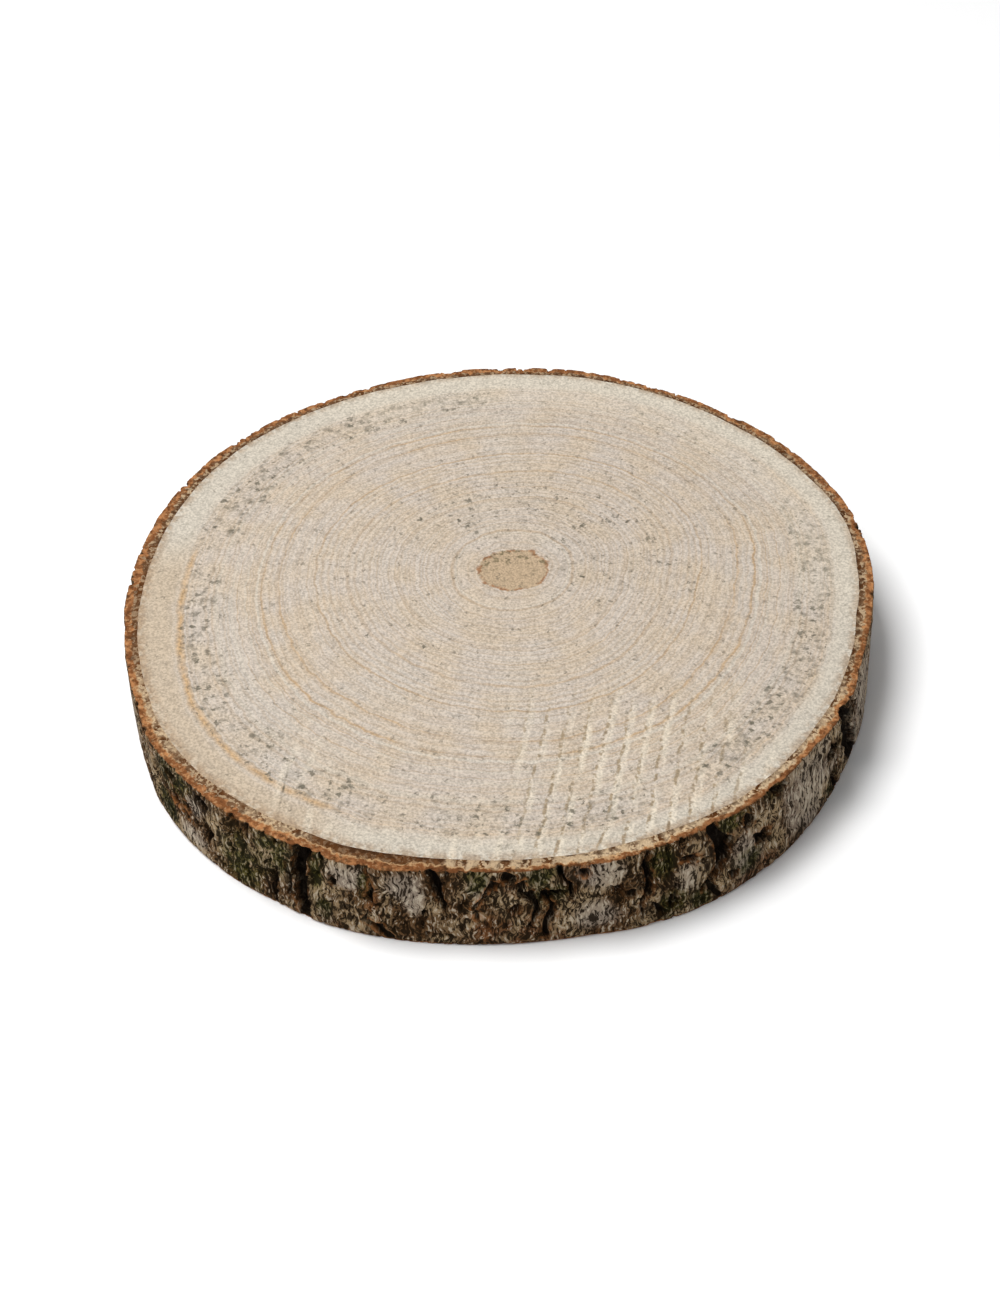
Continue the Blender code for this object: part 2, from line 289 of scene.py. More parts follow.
SHADED_PATCHES = (
    (-25.6, 23, 5.5, 9.0), (-21.6, 7, 6.0, 7.5), (-30.4, 20, 3.6, 4.0), (-29.0, 5, 3.4, 5.5),
    (-83.0, 19, 4.0, 3.4), (-85.0, 27, 3.6, 3.0), (-135.6, 26, 4.6, 3.6), (-144.4, 25, 4.6, 5.0),
    (-66.2, 6, 3.6, 5.0), (-57.0, 20, 5.0, 8.0), (-60.4, 6, 3.2, 5.0), (-118.4, 16, 4.2, 15.0),
    (-114.6, 6, 3.0, 5.0), (-123.6, 10, 1.8, 8.0), (-88.8, 26, 4.4, 3.6), (-98.6, 25, 3.0, 6.0),
    (-145.4, 6, 3.0, 4.0), (-46.0, 27, 4.0, 2.6), (-51.4, 8, 3.6, 3.0), (-139.6, 15, 4.0, 3.4),
    (-106.8, 4, 2.8, 2.8), (-68.6, 20, 1.8, 10.0), (-81.0, 27, 1.6, 6.0), (-134.6, 14, 2.2, 3.4),
)
RUSTY_PATCHES = (
    (-89.0, 7, 11.0, 7.0), (-112.0, 1, 12.0, 2.4), (-82.0, 2, 16.0, 3.6), (-48.0, 2, 12.0, 4.0),
    (-88.4, 26, 4.6, 4.6), (-107.0, 13, 2.2, 7.0), (-151.0, 27, 7.0, 3.6), (-60.6, 20, 2.4, 2.4),
    (-77.6, 27, 2.0, 2.4), (-142.0, 12, 4.0, 4.0), (140.0, 3, 16.0, 4.0), (35.0, 4, 14.0, 4.0),
)


def distance_into(bearing, height, points):
    """How far each place lies inside a fissure, in metres, and negative outside it."""
    inside = np.full(bearing.shape, -1.0)
    for (b0, h0, w0), (b1, h1, w1) in itertools.pairwise(points):
        across = around(bearing, b0) * BARK_RADIUS
        up = height - h0 * MM
        run = np.array([math.radians(b1 - b0) * BARK_RADIUS, (h1 - h0) * MM])
        along = np.clip((across * run[0] + up * run[1]) / (run @ run), 0.0, 1.0)
        away = np.hypot(across - along * run[0], up - along * run[1])
        half_width = (w0 + (w1 - w0) * along) * MM / 2
        inside = np.maximum(inside, half_width - away)
    return inside


def patches(bearing, height, table, raggedness):
    """A mask of soft ellipses on the bark with ragged edges."""
    mask = np.zeros_like(bearing)
    for middle, level, half_width, half_height in table:
        across = around(bearing, middle) * BARK_RADIUS / (half_width * MM)
        up = (height - level * MM) / (half_height * MM)
        mask = np.maximum(mask, smooth_step(1.55 - np.hypot(across, up) + 0.55 * raggedness))
    return mask


def bark_surface(bearing, height):
    """How far the bark lies in from its crests, in metres, and the masks that colour it."""
    on_bark = place_on(BARK_RADIUS, bearing, height)
    swirl = np.stack([rough_lumps(on_bark, (7 * MM,) * 3, 3, seed) for seed in (11, 16)], axis=-1)
    bent_bearing = bearing + 2.0 * MM * swirl[..., 0] / BARK_RADIUS
    bent_height = height + 1.6 * MM * swirl[..., 1]
    ragged = rough_lumps(on_bark, (2.2 * MM, 2.2 * MM, 3.4 * MM), 2, 19)

    fissure_depth = np.zeros_like(bearing)
    lip = np.zeros_like(bearing)
    for depth, rawness, points in FISSURES:
        inside = distance_into(bent_bearing, bent_height, points)
        inside = inside + 0.35 * MM + 0.75 * MM * ragged
        cut = smooth_step(inside / WALL_WIDTH)
        fissure_depth = np.maximum(fissure_depth, depth * MM * cut)
        near = smooth_step(1.0 + inside / LIP_WIDTH) * (1.0 - smooth_step(inside / LIP_WIDTH))
        lip = np.maximum(lip, rawness * near)
    for middle, level, half_width, half_height, rawness in HOLLOWS:
        across = around(bent_bearing, middle) * BARK_RADIUS / (half_width * MM)
        up = (bent_height - level * MM) / (half_height * MM)
        within = 1.0 - np.hypot(across, up) + 0.45 * ragged
        fissure_depth = np.maximum(fissure_depth, HOLLOW_DEPTH * smooth_step(within / 0.4))
        ring_round = smooth_step(1.0 + within / 0.5) * (1.0 - smooth_step(within / 0.4))
        lip = np.maximum(lip, rawness * ring_round)
    opened = np.clip(fissure_depth / (1.8 * MM), 0.0, 1.0)
    fissure_depth *= 0.25 + 0.75 * smooth_step((THICKNESS - height) / RIM_HOLD)
    fissure_depth *= 0.20 + 0.80 * smooth_step(height / FOOT_HOLD)

    warped = on_bark + 2.2 * MM * np.stack(
        [swirl[..., 0], swirl[..., 1], swirl[..., 0] - swirl[..., 1]], axis=-1
    )
    grey = patches(bearing, height, GREY_PATCHES, swirl[..., 0])
    moss = patches(bearing, height, MOSS_PATCHES, swirl[..., 1])
    rusty = patches(bearing, height, RUSTY_PATCHES, swirl[..., 0])
    shaded = patches(bearing, height, SHADED_PATCHES, swirl[..., 1])
    calm = 1.0 - 0.35 * grey

    plates = rough_lumps(on_bark, (12 * MM, 12 * MM, 18 * MM), 2, 21)
    flakes = rough_lumps(warped, (4.6 * MM, 4.6 * MM, 8.5 * MM), 3, 31) * 3.6
    terraces = (np.floor(flakes) + smooth_step((flakes - np.floor(flakes)) * 2.6)) / 3.6
    crease = np.abs(rough_lumps(warped, (3.4 * MM, 3.4 * MM, 9 * MM), 2, 41))
    crevice = smooth_step(1.0 - crease / 0.13) * smooth_step(0.55 + 1.5 * lumps(on_bark, 8 * MM, 43))
    pits = smooth_step((rough_lumps(warped, (2.6 * MM, 2.6 * MM, 3.6 * MM), 2, 47) - 0.42) / 0.16)
    strands = rough_lumps(warped, (1.2 * MM, 1.2 * MM, 6.0 * MM), 2, 51)
    crumbs = rough_lumps(warped, (1.4 * MM, 1.4 * MM, 2.0 * MM), 2, 61)

    fine = (
        1.0 * MM * (1.0 - terraces) / 2
        + 1.0 * MM * crevice
        + 0.9 * MM * pits * calm
        + 0.30 * MM * (1.0 - strands)
        + 0.28 * MM * (1.0 - crumbs)
    )
    inwards = 0.5 * MM * (1.0 - plates) + fine * calm + fissure_depth + 0.5 * MM * moss
    masks = {
        # Painted shade: the fissures and hollows are coloured near-black where they lie deep.
        "fissure_shade": opened * (0.55 + 0.45 * smooth_step((THICKNESS - height) / (1.5 * MM))),
        "shaded": shaded,
        # Painted shade: the deeper the fine relief lies, the darker the bark is coloured.
        "recess_shade": np.clip((fine - 0.6 * MM) / (1.7 * MM), 0.0, 1.0),
        "raw_bark": lip,
        "moss": moss,
        "grey_plate": grey,
        "rusty": rusty,
    }
    return inwards, masks


def rim_wear(bearing, seed):
    """How far the sawn edge of the bark has crumbled away at a bearing."""
    on_edge = place_on(BARK_RADIUS, bearing, 0.0)
    return EDGE_WEAR * (1.0 + rough_lumps(on_edge, (9 * MM,) * 3, 4, seed))


def torus_faces(rows, columns):
    """Quads that join a grid of points whose rows and columns both close on themselves."""
    row, column = np.meshgrid(np.arange(rows), np.arange(columns), indexing="ij")
    next_row = (row + 1) % rows
    next_column = (column + 1) % columns
    corners = [
        row * columns + column,
        row * columns + next_column,
        next_row * columns + next_column,
        next_row * columns + column,
    ]
    return np.stack(corners, axis=-1).reshape(-1, 4)


def new_mesh(name, points, faces, masks, material, places):
    """A smooth-shaded object with its masks as point attributes and its map for baking."""
    mesh = bpy.data.meshes.new(name)
    mesh.vertices.add(len(points))
    mesh.vertices.foreach_set("co", points.astype(np.float32).ravel())
    mesh.loops.add(faces.size)
    mesh.loops.foreach_set("vertex_index", faces.astype(np.int32).ravel())
    mesh.polygons.add(len(faces))
    mesh.polygons.foreach_set("loop_start", np.arange(0, faces.size, 4, dtype=np.int32))
    mesh.update(calc_edges=True)
    for mask, values in masks.items():
        layer = mesh.attributes.new(mask, "FLOAT", "POINT")
        layer.data.foreach_set("value", values.astype(np.float32).ravel())
    bake_map = mesh.uv_layers.new(name="OFBake")
    bake_map.uv.foreach_set("vector", places.astype(np.float32).ravel())
    mesh.shade_smooth()
    mesh.set_sharp_from_angle(angle=math.radians(60))
    mesh.validate()
    mesh.materials.append(material)
    piece = bpy.data.objects.new(name, mesh)
    bpy.context.scene.collection.objects.link(piece)
    return piece


def wood_edge(bearing):
    """The wood's radius under the bark, with the small unevenness of its edge."""
    uneven = 0.25 * MM * rough_lumps(place_on(WOOD_RADIUS, bearing, 0.0), (7 * MM,) * 3, 3, 71)
    return waves(WOOD_RADIUS, WOOD_WAVES, bearing) + uneven + on_sides(bearing, *WOOD_SHIFTS)


def make_bark(material):
    """The ring of bark: its sawn top, its rough side, its sawn base and its wall against the wood."""
    bearing = np.linspace(-math.pi, math.pi, BARK_COLUMNS, endpoint=False)
    inner = wood_edge(bearing)
    outline = waves(BARK_RADIUS, BARK_WAVES, bearing)

    down_side = np.linspace(0.0, 1.0, SIDE_ROWS + 1)
    side_height = THICKNESS * (1.0 - down_side)[:, None] * np.ones_like(bearing)
    side_bearing = np.ones_like(down_side)[:, None] * bearing
    inwards, masks = bark_surface(side_bearing, side_height)
    top_wear = rim_wear(bearing, 81)
    base_wear = rim_wear(bearing, 85)
    from_top = THICKNESS - side_height
    # The outermost plates are worn flat.
    outwards = CREST - inwards
    outwards = np.where(outwards > WORN_FLAT, WORN_FLAT + 0.3 * (outwards - WORN_FLAT), outwards)
    outwards -= top_wear * bump_at(from_top, 0.0, 1.4 * MM)
    foot = 0.6 * (1.0 - smooth_step(side_height / FOOT_EASE))
    outwards += foot * (0.2 * MM - outwards)
    outwards -= 0.4 * base_wear * bump_at(side_height, 0.0, 1.0 * MM)
    outwards += on_sides(bearing, *FOOT_LEANS) * down_side[:, None]
    outwards += on_sides(bearing, *RIM_SHIFTS) * (1.0 - down_side[:, None])
    outwards += on_sides(bearing, *SIDE_SHIFTS)
    outer = np.maximum(outline + outwards, inner + LEAST_BARK)

    def across(rows, edge, height, roughness, seed):
        """Rows over a sawn end of the bark, from the wood out to its edge."""
        part = (np.arange(rows) / rows)[:, None]
        radius = inner + (edge - inner) * part
        dip = rough_lumps(place_on(radius, bearing, 0.0), (1.3 * MM,) * 3, 2, seed)
        dip = roughness * (1.0 + dip) / 2
        dip *= smooth_step(part * 5.0)
        return radius, height - np.sign(height - THICKNESS / 2) * dip, part * np.ones_like(bearing)

    top_radius, top_height, top_part = across(RIM_ROWS, outer[0], THICKNESS, 0.45 * MM, 91)
    base_radius, base_height, base_part = across(BASE_ROWS, outer[-1], 0.0, 0.25 * MM, 95)
    radius = np.concatenate([top_radius, outer, base_radius[::-1]])
    height = np.concatenate([top_height, side_height, base_height[::-1]])
    height[RIM_ROWS] -= top_wear * 0.6
    height[RIM_ROWS + SIDE_ROWS] += base_wear * 0.4
    # 0 at the wood, 1 at the sawn edge, and 2 on the side.
    side_part = 1.0 + smooth_step(np.minimum(from_top, side_height) / (1.2 * MM))
    part = np.concatenate([top_part, side_part, base_part[::-1]])

    rows = len(radius)
    spread = {}
    for name, values in masks.items():
        full = np.zeros((rows, BARK_COLUMNS))
        full[RIM_ROWS:RIM_ROWS + SIDE_ROWS + 1] = values
        spread[name] = full
    spread["out_of_wood"] = part
    points = place_on(radius, bearing, height)
    for name, values in rim_masks(bearing, points[..., 0], points[..., 1]).items():
        spread[name] = np.broadcast_to(values, radius.shape)
    points[..., :2] += TRUNK_MIDDLE
    faces = torus_faces(rows, BARK_COLUMNS)
    return new_mesh("bark", points.reshape(-1, 3), faces, spread, material, bark_map(rows))


def rim_masks(bearing, x, y):
    """The masks that colour the sawn end of the bark, which changes from side to side."""
    checks = smooth_step(0.5 + 1.2 * np.cos(2 * math.pi * saw_phase(x, y, 1.0)))
    checks = checks * on_sides(bearing, (0.8, -97, -79, 3))
    dark_edge = on_sides(
        bearing, (1.0, -110, -80, 8), (0.55, -76, -36, 4), (0.4, -30, -14, 6), (0.7, -8, 170, 6),
        (0.3, 176, 238, 4)
    )
    return {
        "creamy_side": on_sides(
            bearing, (1.0, -79, -40, 5), (0.6, -34, -22, 5), (0.55, -160, -146, 5), (0.5, -127, -119, 4)
        ),
        "dark_edge": np.clip(dark_edge, 0.0, 1.0) * (1.0 - checks),
        "rim_checks": checks,
        "brown_side": on_sides(
            bearing, (1.0, -116, -98, 4), (0.4, 40, 140, 20), (0.55, -190, -166, 6), (0.3, -143, -131, 6)
        ),
        "wide_cream": on_sides(bearing, (1.0, -96, -66, 7), (0.5, -58, -40, 6)),
        "umber_edge": on_sides(bearing, (1.0, -97, -85, 5), (0.6, -64, -42, 6), (0.35, -116, -99, 4)),
        "pale_line": on_sides(
            bearing, (0.75, -122, -66, 8), (0.25, -60, 60, 8), (0.35, -38, -22, 6), (0.45, -160, -146, 6)
        ),
    }


def bark_map(rows):
    """The bark's map: strips that each hold a stretch of it, one above another."""
    strips = 5
    margin = 0.004
    per_strip = BARK_COLUMNS // strips
    # The hidden wall against the wood takes little room.
    row_sizes = np.ones(rows)
    row_sizes[-1] = 0.5
    row_ends = np.concatenate([[0.0], np.cumsum(row_sizes)]) / row_sizes.sum()
    row, column = np.meshgrid(np.arange(rows), np.arange(BARK_COLUMNS), indexing="ij")
    strip = column // per_strip
    left = (column % per_strip) / per_strip
    right = left + 1.0 / per_strip
    top = row_ends[row]
    bottom = row_ends[row + 1]

    def on_map(across, down):
        wide = margin + (1.0 - 2.0 * margin) * across
        high = (strip + margin * strips + (1.0 - 2.0 * margin * strips) * down) / strips
        return np.stack([wide, high], axis=-1)

    corners = [on_map(left, top), on_map(right, top), on_map(right, bottom), on_map(left, bottom)]
    return np.stack(corners, axis=-2).reshape(-1, 2)


# ----------------------------------------------------------------
# Wood: two sawn faces with the same rings


def square_to_disc(u, v):
    """Spreads a square from -1 to 1 evenly over a disc: how far out, and the bearing in radians."""
    wide = np.abs(u) >= np.abs(v)
    out = np.where(wide, np.abs(u), np.abs(v))
    safe_u = np.where(u == 0, 1e-12, u)
    safe_v = np.where(v == 0, 1e-12, v)
    turn = math.pi / 4
    bearing = np.where(wide, turn * v / safe_u, 2 * turn - turn * u / safe_v)
    bearing = np.where((wide & (u < 0)) | (~wide & (v < 0)), bearing + math.pi, bearing)
    return out, bearing


def on_ring(part, bearing):
    """Where a ring lies: part of the way out from the pith to the wood's edge, at a bearing."""
    radius = part * wood_edge(bearing)
    drift = 1.0 - part ** PITH_DRIFT
    x = PITH[0] * drift + radius * np.cos(bearing)
    y = PITH[1] * drift + radius * np.sin(bearing)
    return x, y


def ring_wobble(part, bearing):
    """How far the growth rings stray from the even spread of the rings above."""
    three_lobes = 0.013 * bump_at(part, 0.5, 0.35) * np.cos(3 * (bearing - math.radians(45)))
    leaning = 0.018 * smooth_step((part - 0.55) / 0.3) * np.cos(bearing - math.radians(-50))
    near_side = smooth_step((part - 0.78) / 0.08) * on_sides(bearing, (0.011, -150, -60, 20))
    return three_lobes + leaning + near_side


def sawn_face_masks(part, bearing, x, y, height):
    """The masks that colour a sawn face."""
    spot = np.stack([x, y, np.full_like(x, height)], axis=-1)
    patchy = 0.5 + 0.5 * rough_lumps(spot, (13 * MM,) * 3, 3, 101)
    ring = part - ring_wobble(part, bearing)
    pith_wobble = 0.06 * np.cos(2 * bearing) + 0.13 * rough_lumps(spot, (6 * MM,) * 3, 3, 103)

    outer_band = smooth_step((ring - 0.78) / 0.06) * smooth_step((0.925 - ring) / 0.03)
    round_band = on_sides(
        bearing, (0.70, -180, -140, 12), (0.50, -128, -70, 12), (0.95, -48, 18, 12), (0.30, 40, 60, 12),
        (1.30, 98, 160, 12)
    )
    inner_zone = bump_at(ring, 0.28, 0.34) * (0.30 + on_sides(bearing, (0.35, 5, 115, 30)))
    specks = outer_band * np.clip(round_band, 0, 1.3) * (0.35 + 1.2 * patchy) + inner_zone * patchy + 0.19
    specks *= smooth_step((0.935 - ring) / 0.02)
    cool = on_sides(bearing, (1.0, -172, -136, 8)) * bump_at(ring, 0.785, 0.045)
    cool += on_sides(bearing, (0.8, 98, 118, 8)) * bump_at(ring, 0.775, 0.045)

    saw_lines, edge_marks = saw_mark_masks(x, y, part, bearing)
    gold_side = on_sides(bearing, (0.65, -186, -122, 8), (0.35, -190, 40, 12))
    return {
        "ring": ring - PITH_SIZE * pith_wobble * bump_at(part, PITH_SIZE, 0.06),
        "speck_share": np.clip(specks, 0.0, 1.0),
        "stained_side": on_sides(bearing, (1.0, -184, -122, 14)),
        "gold_side": np.clip(gold_side, 0.0, 1.0),
        "cool_patch": np.clip(cool, 0.0, 1.0),
        "cracked": bump_at(x, -63 * MM, 9 * MM) * bump_at(y, -83 * MM, 15 * MM),
        "saw_marks": np.maximum(saw_lines, edge_marks),
        "saw_lines": saw_lines,
        "edge_stain": smooth_step((part - 0.968) / 0.032),
        "bright_side": smooth_step((part - 0.79) / 0.05) * on_sides(bearing, (1.0, 5, 112, 16)),
    }


def saw_mark_masks(x, y, part, bearing):
    """Where the saw chattered: towards +X and -Y, and more faintly along the near edge."""
    far_end = smooth_step((-30 * MM - y) / (32 * MM))
    sideways = smooth_step((x + 2 * MM) / (16 * MM)) * smooth_step((84 * MM - x) / (22 * MM))
    near_edge = smooth_step((part - 0.88) / 0.08) * on_sides(bearing, (0.8, -118, -45, 12))
    left_marks = 0.6 * bump_at(x, -58 * MM, 13 * MM) * smooth_step((-52 * MM - y) / (18 * MM))
    return far_end * sideways, np.maximum(near_edge, left_marks)


SAW_PITCH = 6.2 * MM
SAW_LEAN = 0.17


def saw_phase(x, y, turn):
    """Which saw mark a place is on, counted across the marks."""
    sway = lumps(np.stack([x, y, np.zeros_like(x)], axis=-1), (30 * MM,) * 3, 111)
    return (x - SAW_LEAN * y * turn) / SAW_PITCH + 0.35 * sway


def make_wood(material):
    """The wood as a closed disc: two sawn faces and the edge under the bark."""
    line = np.linspace(-1.0, 1.0, SAWN_FACE_CELLS + 1)
    v, u = np.meshgrid(line, line, indexing="ij")
    part, bearing = square_to_disc(u, v)
    x, y = on_ring(part, bearing)
    side = SAWN_FACE_CELLS + 1
    index = np.arange(side * side).reshape(side, side)
    quads = np.stack([index[:-1, :-1], index[:-1, 1:], index[1:, 1:], index[1:, :-1]], axis=-1)
    top_faces = quads.reshape(-1, 4)
    base_faces = top_faces[:, ::-1] + side * side
    rim = np.concatenate([index[0, :-1], index[:-1, -1], index[-1, :0:-1], index[:0:-1, 0]])
    next_rim = np.roll(rim, -1)
    wall_faces = np.stack([rim, rim + side * side, next_rim + side * side, next_rim], axis=-1)

    masks = {}
    heights = []
    for height, marks_turn in ((THICKNESS, 1.0), (0.0, -1.0)):
        face_masks = sawn_face_masks(part, bearing, x, y * marks_turn, height)
        spot = np.stack([x, y, np.full_like(x, height)], axis=-1)
        phase = saw_phase(x, y, marks_turn)
        chatter = 0.5 - 0.5 * np.cos(2 * math.pi * phase)
        dip = 0.07 * MM * face_masks["saw_marks"] * chatter
        dip += 0.05 * MM * (1.0 + rough_lumps(spot, (5 * MM,) * 3, 3, 113)) / 2
        dip += 0.25 * MM * smooth_step((PITH_SIZE - face_masks["ring"]) / 0.02)
        dip *= smooth_step((1.0 - part) / 0.01)
        heights.append(height - marks_turn * dip)
        face_masks["saw_phase"] = phase
        for name, values in face_masks.items():
            masks.setdefault(name, []).append(values.ravel())
    masks = {name: np.concatenate(values) for name, values in masks.items()}
    points = np.concatenate(
        [
            np.stack([TRUNK_MIDDLE[0] + x, TRUNK_MIDDLE[1] + y, level], axis=-1).reshape(-1, 3)
            for level in heights
        ]
    )
    faces = np.concatenate([top_faces, base_faces, wall_faces])
    places = wood_map(points, top_faces, base_faces, wall_faces)
    return new_mesh("wood", points, faces, masks, material, places)


def wood_map(points, top_faces, base_faces, wall_faces):
    """The wood's map: the top face large, the underside smaller, in two corners of it."""
    top_share = 0.355
    base_share = 0.222
    flat = points[:, :2] / (WOOD_RADIUS * 1.03)
    top = 0.003 + top_share + flat[top_faces] * top_share
    base = 0.997 - base_share + flat[base_faces] * base_share * np.array([-1.0, 1.0])
    # The hidden edge takes a thin strip.
    wall = np.zeros((len(wall_faces), 4, 2))
    step = 1.0 / len(wall_faces)
    start = np.arange(len(wall_faces))[:, None] * step
    wall[:, :2, 0] = 0.72 + 0.27 * start
    wall[:, 2:, 0] = 0.72 + 0.27 * (start + step)
    wall[:, :, 1] = (0.01, 0.02, 0.02, 0.01)
    return np.concatenate([top.reshape(-1, 2), base.reshape(-1, 2), wall.reshape(-1, 2)])


# ----------------------------------------------------------------
# Materials


def shade(code):
    """A colour from its six-figure screen code, as the shaders take it."""
    channels = [int(code[place:place + 2], 16) / 255 for place in (0, 2, 4)]
    linear = [c / 12.92 if c <= 0.04045 else ((c + 0.055) / 1.055) ** 2.4 for c in channels]
    return (*linear, 1.0)


class Nodes:
    """Adds nodes to a tree, and takes sockets or plain values as their inputs."""

    def __init__(self, tree):
        self.tree = tree

    def add(self, kind, inputs=(), **settings):
        node = self.tree.nodes.new(kind)
        for name, value in settings.items():
            setattr(node, name, value)
        for socket, value in dict(inputs).items():
            self.put(node.inputs[socket], value)
        return node

    def put(self, socket, value):
        if isinstance(value, bpy.types.NodeSocket):
            self.tree.links.new(value, socket)
        else:
            socket.default_value = value

    def math(self, operation, first, second=0.0):
        return self.add("ShaderNodeMath", {0: first, 1: second}, operation=operation).outputs[0]

    def times(self, first, second):
        return self.math("MULTIPLY", first, second)

    def plus(self, first, second):
        return self.math("ADD", first, second)

    def minus(self, first, second):
        return self.math("SUBTRACT", first, second)

    def larger(self, first, second):
        return self.math("MAXIMUM", first, second)

    def ramp(self, value, low, high, to_low=0.0, to_high=1.0):
        """The value's place between low and high, with smooth ends."""
        inputs = {"Value": value, "From Min": low, "From Max": high, "To Min": to_low, "To Max": to_high}
        return self.add("ShaderNodeMapRange", inputs, interpolation_type="SMOOTHSTEP").outputs[0]

    def mix(self, factor, first, second, blend="MIX"):
        node = self.add("ShaderNodeMix", data_type="RGBA", blend_type=blend)
        for place, value in ((0, factor), (6, first), (7, second)):
            self.put(node.inputs[place], value)
        return node.outputs[2]

    def tint(self, colour, other, mask, strength):
        """The colour with another mixed in where the mask is, at this strength."""
        return self.mix(self.times(mask, strength), colour, other)

    def noise(self, vector, scale, detail, roughness=0.5):
        inputs = {"Vector": vector, "Scale": scale, "Detail": detail, "Roughness": roughness}
        return self.add("ShaderNodeTexNoise", inputs).outputs[0]

    def stray(self, vector, scale, detail, reach):
        """Soft noise about 0, this far from one end to the other."""
        return self.times(self.minus(self.noise(vector, scale, detail), 0.5), reach)

    def drifted(self, vector, scale, reach):
        """The coordinates pushed about by soft noise."""
        push = self.add("ShaderNodeTexNoise", {"Vector": vector, "Scale": scale, "Detail": 2.0})
        half = (-0.5, -0.5, -0.5)
        push = self.add("ShaderNodeVectorMath", {0: push.outputs["Color"], 1: half}, operation="ADD")
        push = self.add("ShaderNodeVectorMath", {0: push.outputs[0], "Scale": reach}, operation="SCALE")
        return self.add("ShaderNodeVectorMath", {0: vector, 1: push.outputs[0]}, operation="ADD").outputs[0]

    def stretched(self, vector, scale, turn=0.0):
        """The coordinates drawn out, so that noise on them runs along the smallest scale."""
        inputs = {"Vector": vector, "Rotation": (0.0, 0.0, turn), "Scale": scale}
        return self.add("ShaderNodeMapping", inputs).outputs[0]

    def mask(self, name):
        return self.add("ShaderNodeAttribute", attribute_name=name).outputs["Fac"]

    def group(self, tree, **inputs):
        return self.add("ShaderNodeGroup", inputs, node_tree=tree).outputs[0]

    def mottled(self, vector, scale, low, high, detail=2.0):
        """A soft mask with patches of about one over the scale, in metres."""
        return self.group(MOTTLE, Vector=vector, Scale=scale, Detail=detail, Low=low, High=high)

    def speckled(self, vector, scale, size, share, softness):
        """A mask of specks with cells of about one over the scale, in metres."""
        return self.group(SPECKS, Vector=vector, Scale=scale, Size=size, Share=share, Softness=softness)

    def line_at(self, field, place, width, strength=1.0):
        """A soft line where a field passes one place."""
        return self.group(SOFT_LINE, Field=field, Place=place, Width=width, Strength=strength)


def new_group(name, **defaults):
    """An empty node group with its sockets: it takes a value or a vector for each, and gives a mask."""
    tree = bpy.data.node_groups.new(name, "ShaderNodeTree")
    for label, value in defaults.items():
        kind = "NodeSocketVector" if value is None else "NodeSocketFloat"
        socket = tree.interface.new_socket(label, in_out="INPUT", socket_type=kind)
        if value is not None:
            socket.default_value = value
    tree.interface.new_socket("Mask", in_out="OUTPUT", socket_type="NodeSocketFloat")
    nodes = Nodes(tree)
    return tree, nodes, nodes.add("NodeGroupInput").outputs, nodes.add("NodeGroupOutput").inputs["Mask"]


def mottle_group():
    """Soft noise between two levels: 0 below the low one and 1 above the high one."""
    tree, nodes, given, mask = new_group("mottle", Vector=None, Scale=100.0, Detail=2.0, Low=0.4, High=0.6)
    noise = nodes.noise(given["Vector"], given["Scale"], given["Detail"])
    nodes.put(mask, nodes.ramp(noise, given["Low"], given["High"]))
    return tree


def speck_group():
    """Small uneven specks, of which only a share is there; each has its own size and strength."""
    tree, nodes, given, mask = new_group(
        "specks", Vector=None, Scale=400.0, Size=0.35, Share=0.5, Softness=0.2
    )
    bent = nodes.drifted(given["Vector"], 800.0, 0.0032)
    inputs = {"Vector": bent, "Scale": given["Scale"]}
    cells = nodes.add("ShaderNodeTexVoronoi", inputs, voronoi_dimensions="2D").outputs
    pick = nodes.add("ShaderNodeSeparateColor", {0: cells["Color"]}).outputs
    there = nodes.math("LESS_THAN", pick[0], given["Share"])
    reach = nodes.times(given["Size"], nodes.ramp(pick[1], 0.0, 1.0, 0.35, 1.0))
    spot = nodes.ramp(cells["Distance"], reach, nodes.minus(reach, given["Softness"]))
    strength = nodes.times(there, nodes.ramp(pick[2], 0.0, 1.0, 0.35, 1.0))
    nodes.put(mask, nodes.times(spot, strength))
    return tree


def soft_line_group():
    """A line where a field passes one place."""
    tree, nodes, given, mask = new_group("soft_line", Field=0.0, Place=0.5, Width=0.01, Strength=1.0)
    away = nodes.math("ABSOLUTE", nodes.minus(given["Field"], given["Place"]))
    nodes.put(mask, nodes.times(nodes.ramp(away, given["Width"], 0.0), given["Strength"]))
    return tree


MOTTLE = mottle_group()
SPECKS = speck_group()
SOFT_LINE = soft_line_group()


def new_material(name):
    """A material with its nodes, its shader and the object's own coordinates."""
    material = bpy.data.materials.new(name)
    material.use_nodes = True
    nodes = Nodes(material.node_tree)
    own = nodes.add("ShaderNodeTexCoord").outputs["Object"]
    return material, nodes, material.node_tree.nodes["Principled BSDF"].inputs, own


def add_bump(nodes, shader, height, distance, strength):
    """A fine relief on a material."""
    inputs = {"Height": height, "Distance": distance, "Strength": strength}
    nodes.put(shader["Normal"], nodes.add("ShaderNodeBump", inputs).outputs[0])


# ----------------------------------------------------------------
# Sawn wood

# Rings from the pith out: place, width, how dark, and how golden.
RINGS = (
    (0.172, 0.007, 0.45, 0.1), (0.222, 0.005, 0.40, 0.1), (0.322, 0.006, 0.35, 0.2),
    (0.375, 0.006, 0.30, 0.2), (0.452, 0.006, 0.55, 0.4), (0.540, 0.006, 0.55, 0.4),
    (0.642, 0.006, 0.65, 0.6), (0.690, 0.006, 0.75, 0.7), (0.722, 0.004, 0.45, 0.3),
    (0.757, 0.004, 0.35, 0.2),
)
